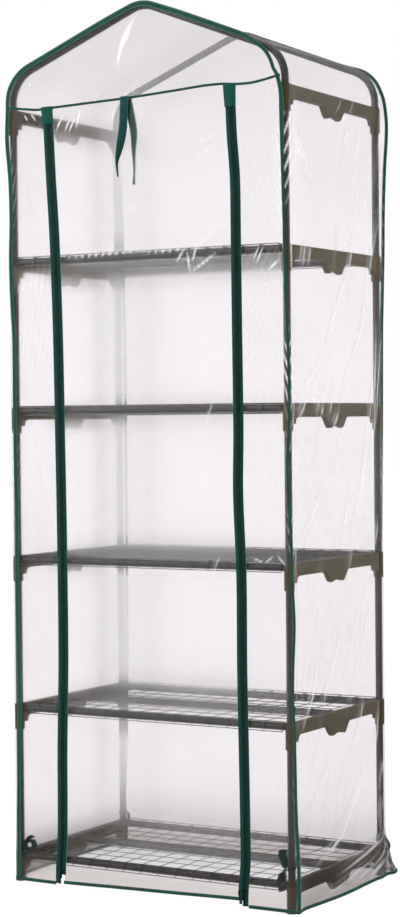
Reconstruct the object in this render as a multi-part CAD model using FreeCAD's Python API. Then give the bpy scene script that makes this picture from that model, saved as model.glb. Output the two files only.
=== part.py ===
import FreeCAD, Part
import math
import os

from FreeCAD import Vector

# Grow tunnel: a five-shelf mini greenhouse of steel tube, moulded side brackets and wire
# shelves under a clear film cover with a zipped front door. Millimetres, +Z up, the door
# faces -Y, and the origin is on the ground under the middle of the whole object.

# Frame
COLUMN_SPAN_X = 684.0
COLUMN_SPAN_Y = 424.0
TIER_RISE = 330.0
TIER_COUNT = 5
FOOT_RISE = 65.0
TUBE_D = 16.0
TUBE_WALL = 0.6
TUBE_FIT = 0.15
END_GAP = 0.3

# Moulded side bracket
SLEEVE_WALL = 2.85
SLEEVE_H = 56.0
SLEEVE_STOP = 3.0
FOOT_FLARE = 1.5
FOOT_FLARE_H = 5.0
BAR_H = 27.0
BAR_T = 12.0
BAR_SKIN = 3.0
RIB_COUNT = 4
LEG_REACH = 24.0
LEG_DROP = 14.0
LEG_FILLET = 12.0
LUG_ROOT = 100.0
LUG_SHOULDER = 67.0
LUG_FEET = 54.0
LUG_DROP = 24.0
LUG_SHOULDER_RISE = 5.0
LUG_NOTCH = 5.0
SPIGOT_L = 25.0

# Roof arches
EAVE_RISE = 65.5
ROOF_RISE = 136.0
EAVE_R = 78.0
APEX_R = 73.0
ARCH_JOINT_PAST_BEND = 20.0
JOINER_REACH = 30.0

# Wire shelves
WIRE = 2.6
SHELF_SIDE_GAP = 2.0
SHELF_SEAT = 0.1
HOOK_GAP = 0.5
HOOK_DROP = 22.0
MESH_ACROSS = 15
MESH_DEEP = 10

# Film cover
FILM = 0.4
COVER_GAP = 1.4
SEAM_GAP = 0.3
SKIRT_H = 240.0
SKIRT_FLARE_X = 4.0
SKIRT_FLARE_Y = 24.0
SIDE_BOW = 12.0
BACK_BOW = 6.0
HEM_FOOT_GAP = 1.0
HEM_H = 12.0
HEM_T = 2.0
HEM_CORNER_GAP = 2.0
BINDING_W = 10.0
BINDING_T = 2.0
DOOR_SEAM_RISE = 3.0
DOOR_SEAM_H = 8.0

# Door, zips and ties
ZIP_X = 230.0
CHAIN_GAP = 2.6
CHAIN_W = 2.5
CHAIN_T = 2.0
ZIP_TAPE_W = 12.0
ZIP_TAPE_T = 1.0
ZIP_TAPE_LAP = 7.0
ZIP_TAB_H = 60.0
ZIP_TAB_T = 0.8
DOOR_HEM_RISE = 14.0
DOOR_HEM_T = 1.8
DOOR_HEM_SIDE_GAP = 2.0
SLIDER_W = 11.0
SLIDER_H = 20.0
SLIDER_PLATE = 1.0
SLIDER_RISE = 18.0
SLIDER_GAP = 0.3
BAIL_H = 7.0
BAIL_T = 2.0
BAIL_EAR_W = 2.0
PIN_R = 0.9
PIN_FIT = 0.08
PULL_W = 6.0
PULL_L = 24.0
PULL_T = 1.4
PULL_EYE_WALL = 0.6
STRAP_X = -40.0
STRAP_W = 18.0
STRAP_T = 1.0
OUTER_STRAP_L = 176.0
INNER_STRAP_L = 195.0
TIE_RISE = 40.0
TIE_H = 10.0
TIE_T = 1.2
TIE_TAIL_L = 44.0
TIE_TAIL_W = 12.0
TIE_TAIL_ANGLES = (62.0, -48.0)

# Worked out from the sizes above
HALF_X = COLUMN_SPAN_X / 2
HALF_Y = COLUMN_SPAN_Y / 2
TUBE_R = TUBE_D / 2
BORE_R = TUBE_R + TUBE_FIT
SLEEVE_R = BORE_R + SLEEVE_WALL
SPIGOT_R = TUBE_R - TUBE_WALL - TUBE_FIT
TOP_LEVEL = TIER_COUNT
TOP_Z = FOOT_RISE + TOP_LEVEL * TIER_RISE
PITCH = math.atan2(ROOF_RISE, HALF_X)
EAVE_TURN = math.pi / 2 - PITCH
BEND_Z = TOP_Z + EAVE_RISE - EAVE_R * math.tan(EAVE_TURN / 2)
APEX_CENTRE_Z = TOP_Z + EAVE_RISE + ROOF_RISE - APEX_R / math.cos(PITCH)
COVER_IN = SLEEVE_R + COVER_GAP
COVER_OUT = COVER_IN + FILM
FACE_X = HALF_X + COVER_IN
FACE_Y = HALF_Y + COVER_IN
HEM_RISE = FOOT_FLARE_H + HEM_FOOT_GAP
HEM_TOP = HEM_RISE + HEM_H
SKIRT_TOP = HEM_TOP + SKIRT_H
SEAM_LOW = TOP_Z + DOOR_SEAM_RISE - DOOR_SEAM_H / 2
SEAM_TOP = SEAM_LOW + DOOR_SEAM_H
TAPE_BACK = FACE_Y + FILM + SEAM_GAP
TAPE_FRONT = TAPE_BACK + ZIP_TAPE_T
CHAIN_FRONT = TAPE_BACK + CHAIN_T
SLIDER_FRONT = CHAIN_FRONT + SLIDER_GAP + SLIDER_PLATE
PIN_Y = SLIDER_FRONT + PIN_R + BAIL_T / 2
PIN_Z = SLIDER_RISE + SLIDER_H - BAIL_H / 2
FRONT_REACH = PIN_Y + PIN_R + BAIL_T / 2
BACK_REACH = FACE_Y + FILM + SKIRT_FLARE_Y + BACK_BOW + (HEM_T - FILM) / 2
MIDDLE_Y = (BACK_REACH - FRONT_REACH) / 2


def level_z(level):
    """Height of a side bracket's top, counted from the lowest bracket."""
    return FOOT_RISE + level * TIER_RISE


def box(x0, x1, y0, y1, z0, z1):
    """Solid box between two corners, given in any order."""
    low = Vector(min(x0, x1), min(y0, y1), min(z0, z1))
    return Part.makeBox(abs(x1 - x0), abs(y1 - y0), abs(z1 - z0), low)


def rod(radius, start, end):
    """Solid cylinder from one point to another."""
    return Part.makeCylinder(radius, (end - start).Length, start, end - start)


def tube(start, end):
    """Straight length of frame tube."""
    return rod(TUBE_R, start, end).cut(rod(TUBE_R - TUBE_WALL, start, end))


def line(a, b):
    return Part.LineSegment(a, b).toShape()


def arc(a, mid, b):
    return Part.Arc(a, mid, b).toShape()


def merged(shapes):
    """One solid out of shapes that meet or overlap."""
    return shapes[0].fuse(shapes[1:]).removeSplitter()


def across(shape):
    """The same shape on the other side of the middle plane, left for right."""
    return shape.mirror(Vector(0, 0, 0), Vector(1, 0, 0))


def eave_point(offset, angle, y):
    """Point on the right eave bend, offset outwards from the arch's axis."""
    reach = EAVE_R + offset
    return Vector(HALF_X - EAVE_R + reach * math.cos(angle), y, BEND_Z + reach * math.sin(angle))


def apex_point(offset, angle, y):
    """Point on the apex bend, with angle 0 at the top and positive to the right."""
    reach = APEX_R + offset
    return Vector(reach * math.sin(angle), y, APEX_CENTRE_Z + reach * math.cos(angle))


def arch_edges(offset, low_z, y):
    """Outline of the arch from the right foot over the apex to the left foot."""
    right = [
        line(Vector(HALF_X + offset, y, low_z), eave_point(offset, 0, y)),
        arc(eave_point(offset, 0, y), eave_point(offset, EAVE_TURN / 2, y), eave_point(offset, EAVE_TURN, y)),
        line(eave_point(offset, EAVE_TURN, y), apex_point(offset, PITCH, y)),
    ]
    top = arc(apex_point(offset, PITCH, y), apex_point(offset, 0, y), apex_point(offset, -PITCH, y))
    left = [across(edge) for edge in reversed(right)]
    return right + [top] + left


def closed_face(edges):
    return Part.Face(Part.Wire(Part.__sortEdges__(edges)))


def arch_panel(offset, low_z, y, thickness):
    """Flat panel with the arch's outline, from low_z up."""
    base = line(Vector(HALF_X + offset, y, low_z), Vector(-HALF_X - offset, y, low_z))
    return closed_face(arch_edges(offset, low_z, y) + [base]).extrude(Vector(0, thickness, 0))


def arch_band(inner, outer, low_z, y, thickness):
    """Flat band along the arch between two offsets, down to low_z on both sides."""
    return arch_panel(outer, low_z, y, thickness).cut(arch_panel(inner, low_z, y, thickness))


# Steel frame


def upright(x, y):
    """Five lengths of tube, each pushed into the brackets above and below it."""
    lengths = []
    for level in range(TIER_COUNT):
        low = level_z(level) - (SLEEVE_H - SLEEVE_STOP) / 2
        high = level_z(level + 1) - (SLEEVE_H + SLEEVE_STOP) / 2
        lengths.append(tube(Vector(x, y, low), Vector(x, y, high)))
    return Part.makeCompound(lengths)


def shelf_rails(level):
    """Front, middle and back rail of one shelf, pushed over the brackets' spigots."""
    reach = HALF_X - SLEEVE_R - END_GAP
    z = level_z(level) - TUBE_R
    return Part.makeCompound([tube(Vector(-reach, y, z), Vector(reach, y, z)) for y in (-HALF_Y, 0, HALF_Y)])


def swept(edges, radius):
    """Rod along a tangent path of lines and arcs."""
    path = Part.Wire(edges)
    start = path.OrderedVertexes[0].Point
    heading = edges[0].tangentAt(edges[0].FirstParameter)
    ring = Part.Wire(Part.makeCircle(radius, start, heading))
    return path.makePipeShell([ring], True, False)


def bent_tube(edges):
    return swept(edges, TUBE_R).cut(swept(edges, TUBE_R - TUBE_WALL))


def arch_joint(y):
    """Where the two halves of an arch butt together, just right of the apex bend."""
    bend_end = apex_point(0, PITCH, y)
    slope = Vector(math.cos(PITCH), 0, -math.sin(PITCH))
    return bend_end + slope * ARCH_JOINT_PAST_BEND


def arch_half(y, right):
    """One half of an arch: the left one also carries the apex bend."""
    foot = Vector(HALF_X, y, TOP_Z - (SLEEVE_H - SLEEVE_STOP) / 2)
    bend = arc(eave_point(0, 0, y), eave_point(0, EAVE_TURN / 2, y), eave_point(0, EAVE_TURN, y))
    leg = [line(foot, eave_point(0, 0, y)), bend]
    if right:
        return bent_tube(leg + [line(eave_point(0, EAVE_TURN, y), arch_joint(y))])
    leg.append(line(eave_point(0, EAVE_TURN, y), apex_point(0, PITCH, y)))
    leg.append(arc(apex_point(0, PITCH, y), apex_point(0, 0, y), apex_point(0, -PITCH, y)))
    joint = arch_joint(y)
    leg.append(line(apex_point(0, -PITCH, y), Vector(-joint.x, y, joint.z)))
    return across(bent_tube(leg))


def arch_joiner(y):
    """Plug inside both halves of an arch, from the end of the apex bend past their joint."""
    reach = Vector(math.cos(PITCH), 0, -math.sin(PITCH)) * JOINER_REACH
    return rod(SPIGOT_R, apex_point(0, PITCH, y), arch_joint(y) + reach)


# Moulded side brackets


def bracket_outline():
    """Side view of the bar with its end legs and its middle lug, its top edge at z = 0."""
    leg_in = HALF_Y - LEG_REACH
    leg_low = -BAR_H - LEG_DROP
    foot_low = -BAR_H - LUG_DROP
    shoulder = Vector(0, LUG_SHOULDER / 2, foot_low + LUG_SHOULDER_RISE)
    tip = Vector(0, LUG_FEET / 2, foot_low)
    fillet_y = leg_in - LEG_FILLET
    fillet_z = -BAR_H - LEG_FILLET
    bend = LEG_FILLET * math.sqrt(0.5)
    half = [
        line(Vector(0, HALF_Y, 0), Vector(0, HALF_Y, leg_low)),
        line(Vector(0, HALF_Y, leg_low), Vector(0, leg_in, leg_low)),
        line(Vector(0, leg_in, leg_low), Vector(0, leg_in, fillet_z)),
        arc(Vector(0, leg_in, fillet_z), Vector(0, fillet_y + bend, fillet_z + bend), Vector(0, fillet_y, -BAR_H)),
        line(Vector(0, fillet_y, -BAR_H), Vector(0, LUG_ROOT / 2, -BAR_H)),
        line(Vector(0, LUG_ROOT / 2, -BAR_H), shoulder),
        line(shoulder, tip),
    ]
    notch = arc(tip, Vector(0, 0, foot_low + LUG_NOTCH), Vector(0, -tip.y, tip.z))
    other = [edge.mirror(Vector(0, 0, 0), Vector(0, 1, 0)) for edge in half]
    top = line(Vector(0, -HALF_Y, 0), Vector(0, HALF_Y, 0))
    return closed_face(half + [notch] + other + [top])


def bracket_pockets():
    """Hollows in the bar's inner side, left between upright ribs."""
    pockets = []
    start = LUG_ROOT / 2
    length = HALF_Y - SLEEVE_R - BAR_SKIN - start
    pitch = length / RIB_COUNT
    for side in (-1, 1):
        for rib in range(RIB_COUNT):
            near = side * (start + rib * pitch)
            far = side * (start + (rib + 1) * pitch - BAR_SKIN)
            pockets.append(box(-BAR_T / 2, BAR_T / 2 - BAR_SKIN, near, far, -BAR_H + BAR_SKIN, -BAR_SKIN))
    return pockets


def side_bracket(level):
    """Right-hand bracket: a ribbed bar between two upright sleeves, with spigots for the rails."""
    z = level_z(level)
    bar = bracket_outline().extrude(Vector(BAR_T, 0, 0))
    bar.translate(Vector(-BAR_T / 2, 0, 0))
    pieces = [bar.cut(Part.makeCompound(bracket_pockets()))]
    bores = []
    low = -FOOT_RISE if level == 0 else -SLEEVE_H
    stop_low = -(SLEEVE_H + SLEEVE_STOP) / 2
    stop_top = -(SLEEVE_H - SLEEVE_STOP) / 2
    for y in (-HALF_Y, HALF_Y):
        pieces.append(rod(SLEEVE_R, Vector(0, y, low), Vector(0, y, 0)))
        bores.append(rod(BORE_R, Vector(0, y, stop_top), Vector(0, y, 0)))
        if level == 0:
            pieces.append(rod(SLEEVE_R + FOOT_FLARE, Vector(0, y, low), Vector(0, y, low + FOOT_FLARE_H)))
        else:
            bores.append(rod(BORE_R, Vector(0, y, low), Vector(0, y, stop_low)))
    if level < TOP_LEVEL:
        for y in (-HALF_Y, HALF_Y):
            root = Vector(-(SLEEVE_R + BORE_R) / 2, y, -TUBE_R)
            pieces.append(rod(SPIGOT_R, root, Vector(-SLEEVE_R - SPIGOT_L, y, -TUBE_R)))
        pieces.append(rod(TUBE_R, Vector(0, 0, -TUBE_R), Vector(-SLEEVE_R, 0, -TUBE_R)))
        pieces.append(rod(SPIGOT_R, Vector(0, 0, -TUBE_R), Vector(-SLEEVE_R - SPIGOT_L, 0, -TUBE_R)))
    bracket = merged(pieces).cut(Part.makeCompound(bores))
    bracket.translate(Vector(HALF_X, 0, z))
    return bracket


# Wire shelves


def net(width, height, across_count, up_count):
    """Flat holed face in the XY plane, centred on x, from y = 0 up."""
    outer = Part.makePlane(width, height, Vector(-width / 2, 0, 0))
    pitch_x = (width - WIRE) / across_count
    pitch_y = (height - WIRE) / up_count
    holes = []
    for column in range(across_count):
        for row in range(up_count):
            corner = Vector(-width / 2 + WIRE + column * pitch_x, WIRE + row * pitch_y, 0)
            holes.append(Part.makePolygon([
                corner,
                corner + Vector(pitch_x - WIRE, 0, 0),
                corner + Vector(pitch_x - WIRE, pitch_y - WIRE, 0),
                corner + Vector(0, pitch_y - WIRE, 0),
                corner,
            ]))
    return Part.makeFace([outer.OuterWire] + holes, "Part::FaceMakerCheese")


def wire_shelf(level):
    """Welded grid that lies on the rails, with grids welded under its front and back edges to hold it there."""
    width = 2 * (HALF_X - SLEEVE_R - SHELF_SIDE_GAP)
    edge_y = HALF_Y + TUBE_R + HOOK_GAP + WIRE
    low = level_z(level) + SHELF_SEAT
    top = net(width, 2 * edge_y, MESH_ACROSS, MESH_DEEP).extrude(Vector(0, 0, WIRE))
    top.translate(Vector(0, -edge_y, low))
    hook = net(width, HOOK_DROP, MESH_ACROSS, 1).extrude(Vector(0, 0, WIRE))
    hook.rotate(Vector(0, 0, 0), Vector(1, 0, 0), 90)
    hook.translate(Vector(0, -edge_y + WIRE, low - HOOK_DROP))
    back_hook = hook.mirror(Vector(0, 0, 0), Vector(0, 1, 0))
    return Part.makeCompound([top, hook, back_hook])


# Film cover


def flare_corner(side, back):
    """Lower corner of the cover's skirt, which stands out at the back only."""
    if back:
        return Vector(side * (FACE_X + SKIRT_FLARE_X), FACE_Y + SKIRT_FLARE_Y, HEM_TOP)
    return Vector(side * FACE_X, -FACE_Y, HEM_TOP)


def bowed_face(start, end, outward, bow, inner, outer):
    """Thin horizontal face along a bowed line, between two offsets."""
    middle = (start + end) * 0.5 + outward * bow
    near = [point + outward * inner for point in (start, middle, end)]
    far = [point + outward * outer for point in (end, middle, start)]
    edges = [arc(*near), line(near[2], far[0]), arc(*far), line(far[2], near[0])]
    return Part.Wire(edges)


def skirt(top_start, top_end, low_start, low_end, outward, bow):
    """Lower part of a wall, from its flat upper edge to its bowed lower edge."""
    upper = [top_start, top_end, top_end + outward * FILM, top_start + outward * FILM]
    edges = [line(upper[i], upper[(i + 1) % 4]) for i in range(4)]
    lower = bowed_face(low_start, low_end, outward, bow, 0, FILM)
    return Part.makeLoft([Part.Wire(edges), lower], True, True)


def side_wall(side):
    """Side of the cover from the top bracket down, with a skirt that stands out to the back."""
    outward = Vector(side, 0, 0)
    flat = box(side * FACE_X, side * (FACE_X + FILM), -FACE_Y, FACE_Y, SKIRT_TOP, TOP_Z)
    front = Vector(side * FACE_X, -FACE_Y, SKIRT_TOP)
    back = Vector(side * FACE_X, FACE_Y, SKIRT_TOP)
    low = skirt(front, back, flare_corner(side, False), flare_corner(side, True), outward, SIDE_BOW)
    return merged([flat, low])


def back_wall():
    """Back of the cover with its gable, down to a skirt that stands out."""
    outward = Vector(0, 1, 0)
    inset = Vector(SEAM_GAP, 0, 0)
    flat = arch_panel(COVER_IN - SEAM_GAP, SKIRT_TOP, FACE_Y, FILM)
    left = Vector(-FACE_X, FACE_Y, SKIRT_TOP) + inset
    right = Vector(FACE_X, FACE_Y, SKIRT_TOP) - inset
    low_left = flare_corner(-1, True) + inset
    low_right = flare_corner(1, True) - inset
    low = skirt(left, right, low_left, low_right, outward, BACK_BOW)
    return merged([flat, low])


def roof():
    """Film over both arches, from the top of one side wall to the other."""
    return arch_band(COVER_IN, COVER_OUT, TOP_Z, -FACE_Y - FILM, 2 * (FACE_Y + FILM))


def front_gable():
    """Film above the door seam."""
    full = arch_panel(COVER_IN - SEAM_GAP, SKIRT_TOP, -FACE_Y - FILM, FILM)
    return full.common(box(-2 * FACE_X, 2 * FACE_X, -2 * FACE_Y, 0, SEAM_TOP, 2 * TOP_Z))


def front_strip():
    """Film between the right zip and the right front corner."""
    inner_x = ZIP_X + CHAIN_GAP / 2 + ZIP_TAPE_W - ZIP_TAPE_LAP
    return box(inner_x, FACE_X - SEAM_GAP, -FACE_Y - FILM, -FACE_Y, HEM_TOP, SEAM_TOP)


def door_film():
    """Film between the zips, from the door's hem to the seam above it."""
    reach = ZIP_X - CHAIN_GAP / 2 - ZIP_TAPE_W + ZIP_TAPE_LAP
    return box(-reach, reach, -FACE_Y - FILM, -FACE_Y, DOOR_HEM_RISE + HEM_H, SEAM_TOP)


def door_hem():
    """Bound lower edge of the door."""
    reach = ZIP_X - SLIDER_W / 2 - DOOR_HEM_SIDE_GAP
    middle = -FACE_Y - FILM / 2
    half = DOOR_HEM_T / 2
    return box(-reach, reach, middle - half, middle + half, DOOR_HEM_RISE, DOOR_HEM_RISE + HEM_H)


def wall_hem(start, end, outward, bow):
    """Bound lower edge of one wall."""
    proud = (HEM_T - FILM) / 2
    along = (end - start).normalize() * HEM_CORNER_GAP
    wire = bowed_face(start + along, end - along, outward, bow, -proud, FILM + proud)
    return Part.Face(wire).extrude(Vector(0, 0, -HEM_H))


def front_hem():
    """Bound lower edge of the right front strip, beside the zip's tape."""
    inner_x = ZIP_X + CHAIN_GAP / 2 + ZIP_TAPE_W + SEAM_GAP
    middle = -FACE_Y - FILM / 2
    half = HEM_T / 2
    return box(inner_x, FACE_X - HEM_CORNER_GAP, middle - half, middle + half, HEM_RISE, HEM_TOP)


def bottom_hem():
    """Bound lower edges of the side walls, the back and both front strips."""
    right = wall_hem(flare_corner(1, False), flare_corner(1, True), Vector(1, 0, 0), SIDE_BOW)
    back = wall_hem(flare_corner(-1, True), flare_corner(1, True), Vector(0, 1, 0), BACK_BOW)
    front = front_hem()
    return Part.makeCompound([right, across(right), back, front, across(front)])


def front_binding():
    """Green tape along both front corners and over the front arch."""
    y = -FACE_Y - FILM - SEAM_GAP - BINDING_T
    return arch_band(COVER_OUT - BINDING_W, COVER_OUT, HEM_TOP, y, BINDING_T)


def back_binding():
    """Green tape along both back corners and over the back arch, following the skirt outwards."""
    y = FACE_Y + FILM + SEAM_GAP
    band = arch_band(COVER_OUT - BINDING_W, COVER_OUT, SKIRT_TOP, y, BINDING_T)
    x = HALF_X + COVER_OUT
    upper = Part.makePolygon([
        Vector(x - BINDING_W, y, SKIRT_TOP),
        Vector(x, y, SKIRT_TOP),
        Vector(x, y + BINDING_T, SKIRT_TOP),
        Vector(x - BINDING_W, y + BINDING_T, SKIRT_TOP),
        Vector(x - BINDING_W, y, SKIRT_TOP),
    ])
    lower = upper.copy()
    lower.translate(Vector(SKIRT_FLARE_X, SKIRT_FLARE_Y + BACK_BOW, HEM_TOP - SKIRT_TOP))
    tail = Part.makeLoft([upper, lower], True, True)
    return merged([band, tail, across(tail)])


def seam_binding():
    """Green tape along the seam above the door, between the corner tapes."""
    reach = HALF_X + COVER_OUT - BINDING_W - SEAM_GAP
    front = FACE_Y + FILM + SEAM_GAP
    return box(-reach, reach, -front - BINDING_T, -front, SEAM_LOW, SEAM_TOP)


# Zips


def zip_tape(fixed):
    """Tape and half chain on one side of the right zip."""
    way = 1 if fixed else -1
    start = ZIP_X + way * CHAIN_GAP / 2
    low = HEM_RISE if fixed else DOOR_HEM_RISE + HEM_H
    top = SEAM_LOW - SEAM_GAP
    tape = box(start, start + way * ZIP_TAPE_W, -TAPE_FRONT, -TAPE_BACK, low, top)
    chain = box(start, start + way * CHAIN_W, -CHAIN_FRONT, -TAPE_BACK, low, top)
    return merged([tape, chain])


def zip_tab():
    """Fabric tab sewn over the upper end of the right zip."""
    reach = CHAIN_GAP / 2 + ZIP_TAPE_W
    back = CHAIN_FRONT + SEAM_GAP
    top = SEAM_LOW - SEAM_GAP
    return box(ZIP_X - reach, ZIP_X + reach, -back - ZIP_TAB_T, -back, top - ZIP_TAB_H, top)


def zip_slider():
    """Slider on the right zip: two plates joined by a post, with a pierced bail for the pull."""
    low = SLIDER_RISE
    top = low + SLIDER_H
    half = SLIDER_W / 2
    back = TAPE_BACK - SLIDER_GAP
    plate_front = CHAIN_FRONT + SLIDER_GAP
    post = CHAIN_GAP / 2 - SLIDER_GAP
    ear_in = PULL_W / 2 + SLIDER_GAP
    pieces = [
        box(ZIP_X - half, ZIP_X + half, -SLIDER_FRONT, -plate_front, low, top),
        box(ZIP_X - half, ZIP_X + half, -back, -back + SLIDER_PLATE, low, top),
        box(ZIP_X - post, ZIP_X + post, -plate_front, -back, low, top),
    ]
    for way in (-1, 1):
        near = ZIP_X + way * ear_in
        far = ZIP_X + way * (ear_in + BAIL_EAR_W)
        pieces.append(box(near, far, -FRONT_REACH, -SLIDER_FRONT, PIN_Z - BAIL_H / 2, PIN_Z + BAIL_H / 2))
    reach = ear_in + BAIL_EAR_W
    pin = rod(PIN_R, Vector(ZIP_X - reach, -PIN_Y, PIN_Z), Vector(ZIP_X + reach, -PIN_Y, PIN_Z))
    return merged(pieces + [pin])


def zip_pull():
    """Pull tab that hangs from the slider's pin."""
    eye_r = PIN_R + PIN_FIT + PULL_EYE_WALL
    half = PULL_W / 2
    eye = rod(eye_r, Vector(ZIP_X - half, -PIN_Y, PIN_Z), Vector(ZIP_X + half, -PIN_Y, PIN_Z))
    blade = box(ZIP_X - half, ZIP_X + half, -PIN_Y - PULL_T / 2, -PIN_Y + PULL_T / 2, PIN_Z - PULL_L, PIN_Z)
    hole = rod(PIN_R + PIN_FIT, Vector(ZIP_X - PULL_W, -PIN_Y, PIN_Z), Vector(ZIP_X + PULL_W, -PIN_Y, PIN_Z))
    return merged([eye, blade]).cut(hole)


# Ties


def outer_strap():
    """Ribbon sewn to the seam above the door, hanging in front of it."""
    back = FACE_Y + FILM + SEAM_GAP + BINDING_T + SEAM_GAP
    half = STRAP_W / 2
    return box(STRAP_X - half, STRAP_X + half, -back - STRAP_T, -back, SEAM_TOP - OUTER_STRAP_L, SEAM_TOP)


def inner_strap():
    """Ribbon sewn to the same seam, hanging behind the door."""
    front = FACE_Y - SEAM_GAP
    half = STRAP_W / 2
    return box(STRAP_X - half, STRAP_X + half, -front, -front + STRAP_T, SEAM_TOP - INNER_STRAP_L, SEAM_TOP)


def corner_tie():
    """Ribbon knotted round the right front upright just above the lowest bracket."""
    low = FOOT_RISE + TIE_RISE
    inner = TUBE_R + TUBE_FIT
    outer = inner + TIE_T
    centre = Vector(HALF_X, -HALF_Y, low)
    top = centre + Vector(0, 0, TIE_H)
    loop = rod(outer, centre, top).cut(rod(inner, centre, top))
    knot_x = HALF_X - (inner + outer) / 2
    tails = []
    for angle in TIE_TAIL_ANGLES:
        tail = box(-TIE_TAIL_L, 0, -TIE_T / 2, TIE_T / 2, -TIE_TAIL_W / 2, TIE_TAIL_W / 2)
        tail.rotate(Vector(0, 0, 0), Vector(0, 1, 0), angle)
        tail.translate(Vector(knot_x, -HALF_Y, low + TIE_H / 2))
        tails.append(tail)
    length = Vector(0, 0, TIE_TAIL_L)
    return merged([loop] + tails).cut(rod(inner, centre - length, top + length))


def corner_ties():
    """The same tie at all four uprights."""
    right = corner_tie()
    back = right.mirror(Vector(0, 0, 0), Vector(0, 1, 0))
    return Part.makeCompound([right, across(right), back, across(back)])


def build():
    nodes = {}
    for name, x in (("left", -HALF_X), ("right", HALF_X)):
        nodes["upright_front_" + name] = upright(x, -HALF_Y)
        nodes["upright_back_" + name] = upright(x, HALF_Y)
    for level in range(TOP_LEVEL + 1):
        bracket = side_bracket(level)
        nodes["bracket_right_%d" % (level + 1)] = bracket
        nodes["bracket_left_%d" % (level + 1)] = across(bracket)
    for level in range(TIER_COUNT):
        nodes["shelf_rails_%d" % (level + 1)] = shelf_rails(level)
        nodes["wire_shelf_%d" % (level + 1)] = wire_shelf(level)
    for name, y in (("front", -HALF_Y), ("back", HALF_Y)):
        nodes["roof_arch_%s_left" % name] = arch_half(y, False)
        nodes["roof_arch_%s_right" % name] = arch_half(y, True)
        nodes["arch_joiner_" + name] = arch_joiner(y)
    nodes["cover_right_wall"] = side_wall(1)
    nodes["cover_left_wall"] = side_wall(-1)
    nodes["cover_back"] = back_wall()
    nodes["cover_roof"] = roof()
    nodes["cover_front_gable"] = front_gable()
    nodes["cover_front_right"] = front_strip()
    nodes["cover_front_left"] = across(front_strip())
    nodes["bottom_hem"] = bottom_hem()
    nodes["binding_front"] = front_binding()
    nodes["binding_back"] = back_binding()
    nodes["binding_door_seam"] = seam_binding()
    nodes["door_film"] = door_film()
    nodes["door_hem"] = door_hem()
    nodes["zip_tape_right"] = zip_tape(True)
    nodes["zip_tape_left"] = across(zip_tape(True))
    nodes["door_tape_right"] = zip_tape(False)
    nodes["door_tape_left"] = across(zip_tape(False))
    nodes["zip_end_tabs"] = Part.makeCompound([zip_tab(), across(zip_tab())])
    nodes["zip_slider_right"] = zip_slider()
    nodes["zip_slider_left"] = across(zip_slider())
    nodes["zip_pull_right"] = zip_pull()
    nodes["zip_pull_left"] = across(zip_pull())
    nodes["tie_strap_outer"] = outer_strap()
    nodes["tie_strap_inner"] = inner_strap()
    nodes["corner_ties"] = corner_ties()
    return nodes


os.makedirs("parts", exist_ok=True)
for node, shape in build().items():
    shape.translate(Vector(0, -MIDDLE_Y, 0))
    shape.exportStep("parts/%s.step" % node)
    print("%-24s solids %2d  volume %10.1f  valid %s" % (node, len(shape.Solids), shape.Volume, shape.isValid()))
print("frame middle at y = %.3f" % -MIDDLE_Y)
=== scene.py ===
import bisect
import random
from math import atan2, cos, dist, exp, hypot, pi, radians, sin, sqrt, tan

import bpy
from mathutils import Matrix, Vector, noise


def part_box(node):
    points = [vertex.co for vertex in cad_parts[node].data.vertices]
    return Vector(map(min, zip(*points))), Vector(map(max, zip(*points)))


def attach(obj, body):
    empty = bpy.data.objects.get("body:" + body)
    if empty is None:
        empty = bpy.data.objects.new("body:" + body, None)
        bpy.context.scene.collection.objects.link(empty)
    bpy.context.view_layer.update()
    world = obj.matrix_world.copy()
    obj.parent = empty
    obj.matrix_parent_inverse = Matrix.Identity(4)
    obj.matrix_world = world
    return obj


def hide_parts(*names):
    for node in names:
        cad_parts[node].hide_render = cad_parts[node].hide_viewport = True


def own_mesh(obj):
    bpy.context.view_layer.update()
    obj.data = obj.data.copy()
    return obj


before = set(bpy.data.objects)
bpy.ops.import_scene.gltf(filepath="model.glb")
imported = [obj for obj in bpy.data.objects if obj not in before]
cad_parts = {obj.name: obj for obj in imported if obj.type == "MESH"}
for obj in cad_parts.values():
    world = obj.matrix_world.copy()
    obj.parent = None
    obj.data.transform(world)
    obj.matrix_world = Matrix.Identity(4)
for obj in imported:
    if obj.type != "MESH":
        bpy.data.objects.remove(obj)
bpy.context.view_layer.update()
scene = bpy.context.scene
scene.view_settings.view_transform = "Standard"

# Sizes in metres, the frame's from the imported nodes
low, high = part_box("upright_back_right")
COL_X = (low.x + high.x) / 2
BACK_Y = (low.y + high.y) / 2
TUBE_R = (high.x - low.x) / 2
low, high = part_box("upright_front_right")
FRONT_Y = (low.y + high.y) / 2
MID_Y = (FRONT_Y + BACK_Y) / 2
COL_Y = (BACK_Y - FRONT_Y) / 2
LEVELS = [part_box("bracket_right_%d" % k)[1].z for k in range(1, 7)]
EAVE_RISE, ROOF_RISE, EAVE_R, APEX_R = 0.0655, 0.136, 0.078, 0.073
PITCH = atan2(ROOF_RISE, COL_X)
TURN = pi / 2 - PITCH
BEND_Z = LEVELS[5] + EAVE_RISE - EAVE_R * tan(TURN / 2)
APEX_Z = LEVELS[5] + EAVE_RISE + ROOF_RISE - APEX_R / cos(PITCH)
# Thickness of the film, and how far the front film and the corner seams stand from the middle of the depth
FILM, FACE, SEAM = 0.0003, 0.225, 0.2262
# The wrap from the axes of the uprights and of the arches
WALL_R, ARCH_R = 0.0126, 0.0092
# Lower edge of the film, where walls turn into roof, and where the tables of the corner seams end
FOOT, ROOF_FROM, SEAM_TOP = 0.0065, 1.7, 1.752
ZIP_X = 0.23
HEM_H = 0.0074
UP, ACROSS_X = Vector((0, 0, 1)), Vector((1, 0, 0))


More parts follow.
